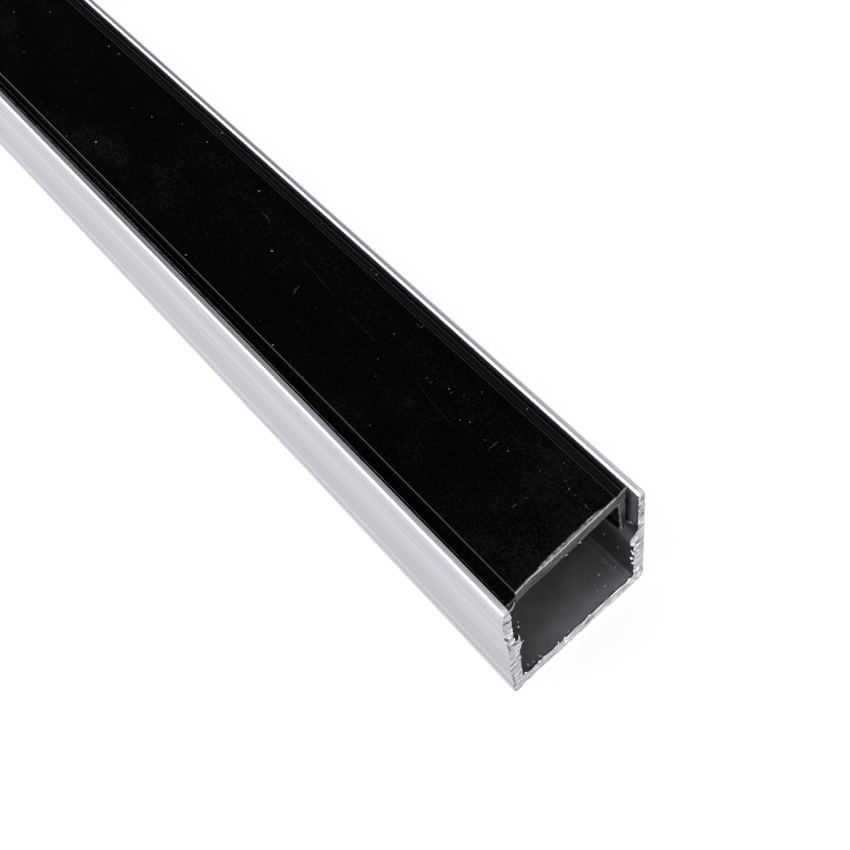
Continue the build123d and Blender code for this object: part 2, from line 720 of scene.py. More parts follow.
@dataclass
class DrawnBar:
    """A section drawn along the bar and sawn off at both ends.

    Attributes:
        name: The piece's name.
        node: The solid that it stands for.
        near: The cut at the near end.
        far: The cut at the far end.
        cell: Size of the grid that carries the saw marks.
        fade: How far from an end the bar is still out of true.
        rings: Distances from each end at which the bar is divided.
        spans: Places along the middle of the bar at which it is divided.
        lip_height: Height from which its outer edges roll over at the ends.
        roll: How far they roll over.
        left_rounds: Rounds of the left half that differ from the right, by corner.
    """

    ON_CUT: ClassVar[float] = 0.01
    MARK_REACH: ClassVar[float] = 0.8
    # The painted shadow line along the chamber's inner edges: how far from the end it reaches, and the height
    # below which it is darker
    RIM_SHADE_REACH: ClassVar[float] = 0.15
    RIM_SHADE_BELOW: ClassVar[float] = 9.0
    BURR_HEIGHT: ClassVar[float] = 0.05
    ROLL_REACH: ClassVar[float] = 0.65
    ON_RIM: ClassVar[float] = 0.5
    SHARP_ANGLE: ClassVar[float] = math.radians(32)

    name: str
    node: str
    near: SawCut
    far: SawCut
    cell: float = 0.1
    fade: float = 20.0
    rings: tuple[float, ...] = (0.1, 0.22, 0.4, 0.65, 1.0, 1.6, 3.0, 7.0, 20.0)
    spans: tuple[float, ...] = (-180, -120, -60, 0, 60, 120, 180)
    lip_height: float = 14.2
    roll: float = 0.0
    left_rounds: dict[int, float] = field(default_factory=dict)

    def half_length(self) -> float:
        """Returns half the length of the square solid."""
        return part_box(self.node)[1][0] / MM

    def right_half(self) -> list[Corner]:
        """Returns the corners of the section's right half, in order round it, with their rounds."""
        raise NotImplementedError

    def faces_chamber(self, across: float, up: float, out: Vector) -> bool:
        """Tells whether a point of the rim looks into the chamber."""
        raise NotImplementedError

    def section(self) -> BMesh:
        """Draws the section at the far end as one face, rounds its corners and cuts it into a grid.

        Returns:
            The section, facing away from the bar, with the outward direction of its rim kept in a layer.
        """
        bm = bmesh.new()
        right_side = self.right_half()
        left_side = [
            (-across, up, self.left_rounds.get(index, radius))
            for index, (across, up, radius) in enumerate(right_side)
        ]
        outline = right_side + left_side[::-1]
        corners = [bm.verts.new((-self.half_length(), across, up)) for across, up, _ in outline]
        bm.faces.new(corners)
        for corner, (_, _, radius) in zip(corners, outline):
            if radius:
                bmesh.ops.bevel(
                    bm, geom=[corner], offset=radius, offset_type="OFFSET", affect="VERTICES",
                    segments=5, profile=0.5, material=-1, clamp_overlap=True,
                )
        self.cut_grid(bm)
        bmesh.ops.recalc_face_normals(bm, faces=bm.faces)
        if sum(f.normal.x * f.calc_area() for f in bm.faces) > 0:
            bmesh.ops.reverse_faces(bm, faces=bm.faces)
        self.mark_rim(bm)
        return bm

    def cut_grid(self, bm: BMesh) -> None:
        """Cuts the section into small cells across and up.

        Args:
            bm: The section.
        """
        for axis in (1, 2):
            low = min(v.co[axis] for v in bm.verts)
            high = max(v.co[axis] for v in bm.verts)
            count = round((high - low) / self.cell)
            normal = Vector((0, 1, 0)) if axis == 1 else Vector((0, 0, 1))
            for step in range(1, count):
                at = normal * (low + (high - low) * step / count)
                whole = bm.verts[:] + bm.edges[:] + bm.faces[:]
                bmesh.ops.bisect_plane(bm, geom=whole, dist=0.004, plane_co=at, plane_no=normal)

    def mark_rim(self, bm: BMesh) -> None:
        """Keeps the outward direction of each point of the section's rim in a layer that drawing copies.

        Args:
            bm: The section.
        """
        layer = bm.verts.layers.float_vector.new("outward")
        for edge in bm.edges:
            if edge.is_boundary:
                middle = (edge.verts[0].co + edge.verts[1].co) / 2
                along = (edge.verts[1].co - edge.verts[0].co).normalized()
                out = along.cross(Vector((1, 0, 0)))
                if out.dot(middle - edge.link_faces[0].calc_center_median()) < 0:
                    out = -out
                for vert in edge.verts:
                    vert[layer] = vert[layer] + out
        for vert in bm.verts:
            vert[layer] = vert[layer].normalized()

    def draw_out(self, bm: BMesh) -> None:
        """Draws the section along the bar, with rings close together near the ends.

        Args:
            bm: The section, which becomes the bar.
        """
        half = self.half_length()
        stations = [ring - half for ring in self.rings] + list(self.spans)
        stations += [half - ring for ring in reversed(self.rings)] + [half]
        faces: list[BMFace] = bm.faces[:]
        at = -half
        for index, station in enumerate(stations):
            grown = bmesh.ops.extrude_face_region(bm, geom=faces)["geom"]
            if index:
                bmesh.ops.delete(bm, geom=faces, context="FACES")
            verts = [g for g in grown if isinstance(g, BMVert)]
            bmesh.ops.translate(bm, verts=verts, vec=(station - at, 0, 0))
            faces = [g for g in grown if isinstance(g, BMFace)]
            at = station
        bmesh.ops.recalc_face_normals(bm, faces=bm.faces)

    def saw(self, bm: BMesh, cut: SawCut) -> None:
        """Shapes one end: turns it out of true, cuts saw marks into it and chips its edges.

        Args:
            bm: The bar.
            cut: The cut to make.
        """
        outward = bm.verts.layers.float_vector["outward"]
        painted_shade_and_grime = bm.verts.layers.float["painted_shade_and_grime"]
        half = self.half_length()
        sign = cut.end.value
        for vert in bm.verts:
            depth = half - sign * vert.co.x
            if depth > self.fade:
                continue
            across, up = vert.co.y, vert.co.z
            shift = (cut.plane(across, up) - half) * (1 - depth / self.fade)
            near = max(0.0, 1 - depth / self.MARK_REACH)
            mark = cut.marks(across, up)
            chip = 0.0
            out = vert[outward]
            on_rim = out.length > self.ON_RIM
            inner = on_rim and self.faces_chamber(across, up, out)
            if inner:
                chip = cut.chips * max(0.0, cut.ripple(Ripple.CHIP, across, up) * 1.8)
            scratched, scratch_depth = cut.scratch(across, up) if near else (0.0, 0.0)
            # The layer paints the cut darker in its deeper saw marks, chips and scratches: painted shade,
            # with some grime
            if depth < self.ON_CUT:
                hollow_shade_and_grime = cut.nicks(across, up) * ease((mark - 0.45) * 3)
                vert[painted_shade_and_grime] = min(1.0, hollow_shade_and_grime + 1.5 * chip + scratched)
            # Painted shadow: a dark line along the chamber's inner edges near the end, darker below the rib
            elif inner and depth < self.RIM_SHADE_REACH:
                rim_shade = 0.75 if up < self.RIM_SHADE_BELOW else -0.1
                vert[painted_shade_and_grime] = ease(rim_shade + 1.5 * cut.ripple(Ripple.RIM_SHADE, across, up))
            vert.co.x = sign * (half - depth + shift - (cut.groove * mark + chip + scratch_depth) * near)
            if on_rim:
                self.wear_rim(vert, out, cut, depth)

    def wear_rim(self, vert: BMVert, out: Vector, cut: SawCut, depth: float) -> None:
        """Rolls the lips over close to the end, and lifts a burr on the chamber's side.

        Args:
            vert: The point.
            out: Its outward direction.
            cut: The cut at that end.
            depth: Its distance from the end.
        """
        across, up = vert.co.y, vert.co.z
        if self.faces_chamber(across, up, out):
            if depth < self.ON_CUT:
                rough = cut.ripple(Ripple.BURR, across, up)
                vert.co += out * (self.BURR_HEIGHT * max(0.0, rough + 0.15))
        elif up > self.lip_height:
            vert.co -= out * self.roll * max(0.0, 1 - depth / self.ROLL_REACH) ** 2

    def sort_faces(self, bm: BMesh) -> None:
        """Gives each face its material slot and shading, and keeps the arrises sharp.

        Args:
            bm: The finished bar, in millimetres.
        """
        half = self.half_length()
        bm.normal_update()
        for face in bm.faces:
            middle = face.calc_center_median()
            normal = face.normal
            if half - abs(middle.x) < self.fade and abs(normal.x) > 0.5:
                face.material_index = Face.SAWN.value
                face.smooth = False
            else:
                inside = self.faces_chamber(middle.y, middle.z, normal)
                face.material_index = (Face.INSIDE if inside else Face.OUTSIDE).value
                face.smooth = True
        for edge in bm.edges:
            edge.smooth = len(edge.link_faces) == 2 and edge.calc_face_angle(0) < self.SHARP_ANGLE

    def build(self) -> bpy.types.Object:
        """Builds the bar.

        Returns:
            The finished object, riding on the frame.
        """
        bm = self.section()
        bm.verts.layers.float.new("painted_shade_and_grime")
        self.draw_out(bm)
        for cut in (self.near, self.far):
            self.saw(bm, cut)
        self.sort_faces(bm)
        self.extra_layers(bm)
        bm.verts.layers.float_vector.remove(bm.verts.layers.float_vector["outward"])
        return finish_piece(bm, self.name, self.node)

    def extra_layers(self, bm: BMesh) -> None:
        """Adds the attributes that this bar's finish reads."""


@dataclass
class Channel(DrawnBar):
    """The aluminium U channel, with a rib inside each wall.

    Attributes:
        half_width: Half its width.
        height: Its height.
        upper_face: How far from the middle the inner face of its wall is, above the rib.
        lower_face: The same below the rib.
        rib_slope_top: Height at which the rib's slope meets the wall.
        rib_tip: How far from the middle the rib's tip is, and its height.
        rib_foot: Height at which the rib ends below.
        floor_top: Height of the floor beside the walls.
        floor_step: Where the step in the floor starts and ends, from the middle.
        floor_middle: Height of the floor between the steps.
        base_round: Round of its lower corners.
        lip_rounds: Rounds of the outer and the inner edge of a lip.
        rib_round: Round of the rib's tip.
        floor_round: Round between the wall and the floor.
        outside: The finish of its outer faces.
        inside: The finish of the chamber.
        sawn: The finish of its ends.
    """

    CHAMBER_SIDE: ClassVar[float] = 7.77
    CHAMBER_HEIGHTS: ClassVar[Point] = (1.4, 14.8)
    CHAMBER_MIDDLE: ClassVar[float] = 8.3

    roll: float = 0.08
    # The inner edge of the left lip, its third corner, is sharper
    left_rounds: dict[int, float] = field(default_factory=lambda: {2: 0.12})
    half_width: float = 8.5
    height: float = 15.0
    upper_face: float = 7.72
    lower_face: float = 7.2
    rib_slope_top: float = 9.3
    rib_tip: Point = (6.6, 8.35)
    rib_foot: float = 6.8
    floor_top: float = 1.6
    floor_step: Point = (6.34, 6.26)
    floor_middle: float = 1.5
    base_round: float = 0.8
    lip_rounds: Point = (0.3, 0.34)
    rib_round: float = 0.15
    floor_round: float = 0.4
    outside: ExtrudedAluminium = field(default_factory=lambda: ExtrudedAluminium(
        "satin_extruded_aluminium",
        bands=(
            (0.0, 0.56), (1.0, 0.60), (1.8, 0.43), (2.2, 0.46), (2.6, 0.60), (3.5, 0.46), (7.0, 0.47),
            (8.2, 0.53), (9.0, 0.50), (10.5, 0.58), (11.3, 0.49), (12.0, 0.54), (12.9, 0.48), (14.4, 0.58),
            # The last stops paint light onto the flat tops of the lips
            (14.93, 0.60), (14.98, 0.86), (15.0, 0.90),
        ),
    ))
    inside: ExtrudedAluminium = field(default_factory=lambda: ExtrudedAluminium(
        "dull_inner_aluminium",
        # These bands paint shade into the chamber: dark down the walls below the rib and darkest on the rib's
        # top under the cover's foot, with the floor, the rib's tip and the wall above the rib paler
        bands=(
            (0.0, 0.55), (1.62, 0.55), (1.75, 0.20), (3.0, 0.13), (6.5, 0.20), (8.3, 0.34), (8.75, 0.34),
            (9.05, 0.15), (9.42, 0.12), (9.6, 0.46), (15.0, 0.46),
        ),
        roughness=(0.47, 0.50), lines=0.02, streaks=0.015, relief=0.03, gloss_above=9.4, mouth=6.0,
    ))
    sawn: SawnAluminium = SawnAluminium("sawn_aluminium")

    def right_half(self) -> list[Corner]:
        """Lays out the section's right half, from the base round to the floor.

        Returns:
            Its corners, with their rounds.
        """
        return [
            (self.half_width, 0.0, self.base_round),
            (self.half_width, self.height, self.lip_rounds[0]),
            (self.upper_face, self.height, self.lip_rounds[1]),
            (self.upper_face, self.rib_slope_top, 0.0),
            (*self.rib_tip, self.rib_round),
            (self.lower_face, self.rib_foot, 0.0),
            (self.lower_face, self.floor_top, self.floor_round),
            (self.floor_step[0], self.floor_top, 0.0),
            (self.floor_step[1], self.floor_middle, 0.0),
        ]

    def faces_chamber(self, across: float, up: float, out: Vector) -> bool:
        """Tells whether a point of the rim looks into the chamber.

        Args:
            across: Place across the bar.
            up: Place above the base.
            out: The outward direction there.

        Returns:
            Whether it does.
        """
        low, high = self.CHAMBER_HEIGHTS
        inward = out.y * -across + out.z * (self.CHAMBER_MIDDLE - up)
        return abs(across) < self.CHAMBER_SIDE and low < up < high and inward > 0

    def dress(self, piece: bpy.types.Object) -> None:
        """Gives the channel its three finishes."""
        for finish in (self.outside, self.inside, self.sawn):
            piece.data.materials.append(finish.material())


@dataclass
class Cover(DrawnBar):
    """The black plastic cover, a stepped plate on two clip legs.

    Attributes:
        plate_top: Height of its plate.
        flange_top: Height of its side flanges.
        plate_edge: Half the width of its plate.
        underside: Height of the plate's underside.
        leg_inner: How far from the middle its legs stand at the top.
        leg_slope: How much further out they stand per millimetre down.
        leg_outer: How far from the middle the outer faces of the legs are at the top.
        flange_edge: Half the width across its flanges.
        flange_under: Height of the flanges' underside.
        neck: Where the barb starts, across and up.
        barb: How far from the middle the barb reaches.
        barb_heights: Heights of the barb's upper and lower edge.
        seat: How far from the middle the seat on the rib ends.
        foot: The inner edge of the foot, across and up.
        toe: Where the foot meets the leg, across and up.
        plate_round: Round of the plate's edges.
        flange_round: Round of the flanges' edges, and of the toe.
        foot_round: Round of the foot's edge.
        leg_round: Round between the leg and the plate.
        finish: Its finish.
        cut_finish: The finish of its cut ends.
    """

    PALE_REACH: ClassVar[float] = 1.5
    EDGE_DEPTH: ClassVar[float] = 0.14
    LINE_REACH: ClassVar[float] = 0.13
    VEIL_MIDDLE: ClassVar[float] = 0.6
    VEIL_SIDE: ClassVar[float] = 4.6
    CUT_REACH: ClassVar[float] = 0.2
    LEG_HIGHLIGHT: ClassVar[float] = 0.10

    cell: float = 0.12
    rings: tuple[float, ...] = (0.1, 0.2, 0.32, 0.46, 0.62, 0.85, 1.4, 3.0, 7.0, 20.0)
    plate_top: float = 14.85
    flange_top: float = 14.25
    plate_edge: float = 6.28
    underside: float = 13.55
    leg_inner: float = 6.44
    leg_slope: float = 0.094
    leg_outer: float = 7.26
    flange_edge: float = 7.40
    flange_under: float = 13.60
    neck: Point = (7.35, 10.113)
    barb: float = 7.50
    barb_heights: Point = (9.513, 9.113)
    seat: float = 7.20
    foot: Point = (6.60, 8.859)
    toe: Point = (6.84, 9.30)
    plate_round: float = 0.12
    flange_round: float = 0.1
    foot_round: float = 0.05
    leg_round: float = 0.35
    finish: BlackPlastic = BlackPlastic("gloss_black_plastic")
    cut_finish: BlackPlastic = BlackPlastic("cut_black_plastic", body=0.012, shine=0.14)

    def right_half(self) -> list[Corner]:
        """Lays out the section's right half, from the plate round to the leg.

        Returns:
            Its corners, with their rounds.
        """
        return [
            (self.plate_edge, self.plate_top, self.plate_round),
            (self.plate_edge, self.flange_top, 0.0),
            (self.flange_edge, self.flange_top, self.flange_round),
            (self.flange_edge, self.flange_under, self.flange_round),
            (self.leg_outer, self.flange_under, 0.0),
            (*self.neck, 0.0),
            (self.barb, self.barb_heights[0], 0.0),
            (self.barb, self.barb_heights[1], 0.0),
            (self.seat, self.foot[1], 0.0),
            (*self.foot, self.foot_round),
            (*self.toe, self.flange_round),
            (self.leg_inner, self.underside, self.leg_round),
        ]

    def faces_chamber(self, across: float, up: float, out: Vector) -> bool:
        """Tells whether a point of the rim looks down into the chamber."""
        return out.z < -0.5 or (up < self.underside + 0.05 and out.y * across < 0)

    def extra_layers(self, bm: BMesh) -> None:
        """Marks how far the plastic has turned pale beside each cut, with a painted highlight along the right
        leg's inner edge.

        Args:
            bm: The finished bar, in millimetres.
        """
        pale = bm.verts.layers.float.new("pale")
        for vert in bm.verts:
            across, up = vert.co.y, vert.co.z
            for cut in (self.near, self.far):
                depth = cut.plane(across, up) - cut.end.value * vert.co.x
                if depth < self.PALE_REACH:
                    vert[pale] = self.paleness(cut, across, up, depth)

    def paleness(self, cut: SawCut, across: float, up: float, depth: float) -> float:
        """Tells how pale the plastic is beside a cut, with a painted highlight along the right leg's inner
        edge.

        Args:
            cut: The cut.
            across: Place across the bar.
            up: Place above the base.
            depth: Distance from the cut.

        Returns:
            How pale, from 0 to 1.
        """
        ragged = cut.ripple(Ripple.RAGGED, across, up)
        fine = cut.ripple(Ripple.CRUMB, across, up, 6 * depth)
        on_plate = abs(across) < self.plate_edge
        top = self.plate_top if on_plate else self.flange_top
        if up > top - self.EDGE_DEPTH:
            middle = ease((self.VEIL_SIDE - abs(across - self.VEIL_MIDDLE)) / 1.4)
            reach = self.LINE_REACH + 0.28 * middle + 0.10 * ragged
            line = (0.95 + 0.5 * fine) * max(0.0, 1 - max(0.0, depth) / self.LINE_REACH)
            veil = (0.40 + 0.4 * fine) * ease((reach - depth) / 0.12)
            level = max(line, veil) * (1.0 if on_plate else 0.35)
        elif depth > self.CUT_REACH:
            level = 0.0
        elif up > self.underside - 0.05 and abs(across) < self.leg_inner:
            streak = cut.ripple(Ripple.STREAK, across, up + 0.04 * across)
            level = 0.03 + 0.05 * fine + 0.40 * max(0.0, streak)
        elif across > 0:
            # Painted highlight: a pale line along the right leg's inner edge
            edge = self.leg_inner + self.leg_slope * (self.underside - up)
            level = 0.45 if across < edge + self.LEG_HIGHLIGHT else 0.04 + 0.04 * fine
        else:
            level = 0.0
        return min(1.0, max(0.0, level))

    def dress(self, piece: bpy.types.Object) -> None:
        """Gives the cover its black finish, and a duller one where it was cut."""
        for finish in (self.finish, self.finish, self.cut_finish):
            piece.data.materials.append(finish.material())


def add_grain(bm: BMesh, at: Point3, scale: Point3, turn: float) -> set[BMFace]:
    """Adds one rough grain.

    Args:
        bm: The mesh to add to, in millimetres.
        at: Its middle.
        scale: Half its length, width and height.
        turn: Its turn about the upright.

    Returns:
        The grain's faces.
    """
    shape = Matrix.Translation(at) @ Matrix.Rotation(turn, 4, "Z") @ Matrix.Diagonal((*scale, 1))
    made = bmesh.ops.create_icosphere(bm, subdivisions=1, radius=1, matrix=shape)["verts"]
    return {face for vert in made for face in vert.link_faces}


def add_sliver(bm: BMesh, path: list[Vector], width: float, facing: Vector, thickness: float) -> set[BMFace]:
    """Adds a thin bent sliver that tapers to both its ends.

    Args:
        bm: The mesh to add to, in millimetres.
        path: The line that the sliver follows.
        width: Its width in the middle.
        facing: The direction that its broad side looks to.
        thickness: Its thickness.

    Returns:
        The sliver's faces.
    """
    before = set(bm.faces)
    strip = bmesh.ops.create_grid(bm, x_segments=2 * len(path), y_segments=1, size=0.5)["verts"]
    last = len(path) - 1
    for vert in strip:
        share = min(1.0, max(0.0, vert.co.x + 0.5))
        index = min(last - 1, int(share * last))
        start, end = path[index], path[index + 1]
        side = (end - start).cross(facing).normalized()
        taper = SLIVER_TIP + (1 - SLIVER_TIP) * math.sin(math.pi * min(0.97, max(0.03, share)))
        vert.co = start.lerp(end, share * last - index) + side * (vert.co.y * width * taper)
    faces = [face for face in bm.faces if face not in before]
    bmesh.ops.recalc_face_normals(bm, faces=faces)
    if faces[0].normal.dot(facing) < 0:
        bmesh.ops.reverse_faces(bm, faces=faces)
    bmesh.ops.solidify(bm, geom=faces, thickness=thickness)
    return set(bm.faces) - before


def finish_piece(bm: BMesh, name: str, node: str | None) -> bpy.types.Object:
    """Turns a mesh in millimetres into a piece that rides on the frame.

    Args:
        bm: The mesh, which is freed.
        name: The piece's name.
        node: The solid that it stands for, if any.

    Returns:
        The new object.
    """
    bmesh.ops.scale(bm, vec=(MM, MM, MM), verts=bm.verts)
    mesh = bpy.data.meshes.new(name)
    bm.to_mesh(mesh)
    bm.free()
    piece = bpy.data.objects.new(name, mesh)
    bpy.context.scene.collection.objects.link(piece)
    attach(piece, "root")
    if node:
        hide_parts(node)
    return piece


@dataclass(frozen=True)
class Sliver:
    """A torn sliver of metal that lies along a cut.

    Attributes:
        start: One end, across and up.
        end: The other end.
        width: Its width in the middle.
        lift: How far its middle stands off the cut.
        white: Whether it shines white.
    """

    STEPS: ClassVar[int] = 3
    SINK: ClassVar[float] = 0.07

    start: Point
    end: Point
    width: float
    lift: float = 0.05
    white: bool = True

    def path(self, cut: SawCut) -> list[Vector]:
        """Bends the sliver over a cut.

        Args:
            cut: The cut that it lies on.

        Returns:
            The points of its line.
        """
        points = []
        for step in range(self.STEPS + 1):
            across, up = Vector(self.start).lerp(Vector(self.end), step / self.STEPS)
            stand = self.lift * math.sin(math.pi * step / self.STEPS) - self.SINK
            points.append(Vector((cut.flat(across, up) + stand, across, up)))
        return points


@dataclass
class SawBurrs:
    """Bright smears, torn slivers and curls of metal that the saw left on the near end.

    Attributes:
        cut: The cut that they stand on.
        limit: How far along the bar they may reach.
        right_wall: The slivers on the right wall.
        left_wall: The slivers on the left wall.
        floor: The slivers on the floor.
        torn: The finish of grey slivers.
        white: The finish of bright ones.
    """

    FACING: ClassVar[Point3] = (1, 0, 0.25)
    THICKNESS: ClassVar[float] = 0.04

    cut: SawCut
    limit: float
    right_wall: tuple[Sliver, ...] = (
        Sliver((6.63, 8.30), (7.98, 8.26), 0.46), Sliver((6.72, 7.74), (7.29, 7.54), 0.28),
        Sliver((7.30, 6.90), (8.13, 6.72), 0.32), Sliver((8.13, 8.40), (8.43, 8.36), 0.20),
        Sliver((7.70, 4.34), (8.23, 4.52), 0.20), Sliver((7.21, 2.19), (8.04, 2.14), 0.34),
        Sliver((7.64, 1.41), (8.37, 1.53), 0.30), Sliver((7.16, 6.45), (7.36, 6.44), 0.38, 0.08),
        Sliver((7.68, 14.50), (7.90, 14.52), 0.34), Sliver((7.72, 14.00), (7.86, 14.02), 0.28),
        Sliver((7.68, 12.58), (7.80, 12.60), 0.24), Sliver((8.12, 10.10), (8.40, 10.06), 0.40),
        Sliver((7.68, 10.25), (7.88, 10.76), 0.26), Sliver((6.83, 6.73), (7.09, 5.54), 0.20, 0.16),
        Sliver((6.69, 5.63), (7.05, 4.91), 0.26, 0.16), Sliver((6.88, 4.31), (7.22, 4.27), 0.30, 0.16),
    )
    left_wall: tuple[Sliver, ...] = (
        Sliver((-7.58, 8.34), (-6.61, 8.06), 0.15, 0.10), Sliver((-8.25, 10.82), (-7.95, 10.73), 0.40),
        Sliver((-7.90, 9.61), (-7.58, 9.87), 0.28), Sliver((-7.75, 14.30), (-7.72, 13.50), 0.10, 0.03),
        Sliver((-7.88, 6.78), (-7.27, 6.78), 0.30), Sliver((-7.88, 3.16), (-7.65, 3.19), 0.20),
        Sliver((-7.65, 2.47), (-7.43, 2.46), 0.42), Sliver((-7.68, 1.40), (-6.99, 1.32), 0.20),
        Sliver((-7.45, 7.55), (-6.95, 7.35), 0.12, 0.05, False),
        Sliver((-7.25, 5.60), (-7.02, 5.30), 0.10, 0.05, False),
        Sliver((-6.96, 2.05), (-6.66, 1.52), 0.24, 0.10),
    )
    floor: tuple[Sliver, ...] = (
        Sliver((1.58, 1.44), (3.71, 1.48), 0.22), Sliver((3.56, 1.46), (5.86, 1.50), 0.22),
        Sliver((1.77, 0.38), (4.00, 0.42), 0.20), Sliver((3.85, 0.40), (5.49, 0.46), 0.20),
        Sliver((5.49, 0.40), (5.79, 0.32), 0.28), Sliver((5.98, 0.42), (6.31, 0.42), 0.26),
        Sliver((6.54, 0.75), (7.59, 0.52), 0.24), Sliver((7.59, 0.90), (8.22, 0.82), 0.46),
        Sliver((0.04, 1.16), (1.29, 1.44), 0.26), Sliver((6.15, 1.42), (7.13, 1.36), 0.26),
        Sliver((-2.77, 1.42), (-2.64, 2.05), 0.14, 0.06), Sliver((-5.23, 1.42), (-5.16, 1.86), 0.14, 0.06),
        Sliver((-4.60, 1.05), (-2.90, 1.12), 0.16, 0.05, False), Sliver((-1.90, 1.20), (-0.20, 1.26), 0.16),
        Sliver((-5.90, 0.80), (-4.90, 0.95), 0.14, 0.05, False),
    )
    torn: SawnAluminium = SawnAluminium("torn_aluminium", bright=0.66)
    white: SawnAluminium = SawnAluminium("white_torn_aluminium", bright=0.9)

    def build(self) -> bpy.types.Object:
        """Builds the slivers as one piece.

        Returns:
            The piece, riding on the frame.
        """
        bm = bmesh.new()
        for sliver in self.right_wall + self.left_wall + self.floor:
            path = sliver.path(self.cut)
            for face in add_sliver(bm, path, sliver.width, Vector(self.FACING), self.THICKNESS):
                face.material_index = int(sliver.white)
        for vert in bm.verts:
            vert.co.x = min(vert.co.x, self.limit)
        return finish_piece(bm, "saw_burrs", None)

    def dress(self, piece: bpy.types.Object) -> None:
        """Gives the slivers the finishes of torn metal."""
        for finish in (self.torn, self.white):
            piece.data.materials.append(finish.material())


@dataclass
class CoverBurrs:
    """Flakes and curls of plastic that the saw left on the near end of the cover.

    Attributes:
        flakes: Each one's finish, width, facing and points along, across and up.
        finishes: The finishes: dark, pale and white.
    """

    THICKNESS: ClassVar[float] = 0.05

    flakes: tuple[tuple[int, float, Point3, tuple[Point3, ...]], ...] = (
        (
            0, 0.46, (1.0, 0.0, 0.4),
            ((247.66, 6.05, 14.42), (247.56, 6.75, 14.42), (247.48, 7.25, 14.46), (247.44, 7.56, 14.60)),
        ),
        (
            1, 0.20, (1.0, 0.0, 0.8),
            ((247.64, 6.05, 14.70), (247.52, 6.85, 14.74), (247.44, 7.40, 14.80), (247.40, 7.76, 14.90)),
        ),
        (2, 0.09, (0.3, 0.0, 1.0), ((247.62, 7.36, 9.84), (247.95, 7.48, 9.98), (248.16, 7.62, 9.76))),
        (
            2, 0.14, (1.0, 0.0, 0.4),
            ((249.22, -6.62, 14.16), (249.40, -7.08, 13.88), (249.52, -7.50, 14.06), (249.60, -7.72, 14.30)),
        ),
    )
    finishes: tuple[PaleDust, ...] = (
        PaleDust("dark_torn_plastic", 0.015, 0.04), PaleDust("torn_plastic", 0.12, 0.40),
        PaleDust("white_torn_plastic", 0.45, 0.85),
    )

    def build(self) -> bpy.types.Object:
        """Builds the flakes as one piece.

        Returns:
            The piece, riding on the frame.
        """
        bm = bmesh.new()
        for finish, width, facing, points in self.flakes:
            path = [Vector(point) for point in points]
            for face in add_sliver(bm, path, width, Vector(facing), self.THICKNESS):
                face.material_index = finish
        return finish_piece(bm, "cover_burrs", None)

    def dress(self, piece: bpy.types.Object) -> None:
        """Gives the flakes the finishes of torn plastic."""
        for finish in self.finishes:
            piece.data.materials.append(finish.material())


@dataclass
class ChamberSwarf:
    """Crumbs of swarf that lie in the mouth of the chamber.

    Attributes:
        crumbs: Place along, across and up, and size of each crumb.
        finish: Their finish.
        seed: Start of their random turns.
    """

    crumbs: tuple[tuple[float, float, float, float], ...] = (
        (246.28, 4.90, 1.5, 0.09), (247.53, 4.53, 1.5, 0.10), (246.23, 4.06, 1.5, 0.05),
        (247.47, 3.68, 1.5, 0.05), (246.17, 3.20, 1.5, 0.05), (248.90, -6.08, 1.5, 0.10),
        (248.98, -5.55, 1.5, 0.09), (249.12, -5.35, 1.5, 0.05), (248.91, -4.75, 1.5, 0.09),
        (249.10, -4.65, 1.5, 0.09), (248.85, -1.15, 1.5, 0.08), (248.82, -0.70, 1.5, 0.05),
        (248.74, 0.21, 1.5, 0.06), (248.91, -1.99, 1.5, 0.05), (249.10, -4.14, 1.5, 0.05),
        (249.00, -3.27, 1.5, 0.05), (245.78, 6.20, 1.5, 0.06), (246.76, 6.54, 1.6, 0.10),
        (244.58, 7.18, 4.17, 0.09), (246.49, 7.18, 4.18, 0.09), (248.22, 1.42, 13.62, 0.11),
        (248.38, -0.25, 13.62, 0.09), (249.16, -6.60, 10.7, 0.09), (249.24, -6.66, 9.96, 0.10),
    )
    finish: PaleDust = PaleDust("pale_swarf", 0.45, 0.9)
    seed: int = 17

    def build(self) -> bpy.types.Object:
        """Builds the crumbs as one piece.

        Returns:
            The piece, riding on the frame.
        """
        bm = bmesh.new()
        dice = random.Random(self.seed)
        for along, across, up, size in self.crumbs:
            scale = (size * dice.uniform(1.0, 1.5), size * dice.uniform(0.8, 1.2), size * 0.8)
            add_grain(bm, (along, across, up), scale, dice.uniform(0, math.pi))
        return finish_piece(bm, "chamber_swarf", None)

    def dress(self, piece: bpy.types.Object) -> None:
        """Gives the crumbs their finish."""
        piece.data.materials.append(self.finish.material())


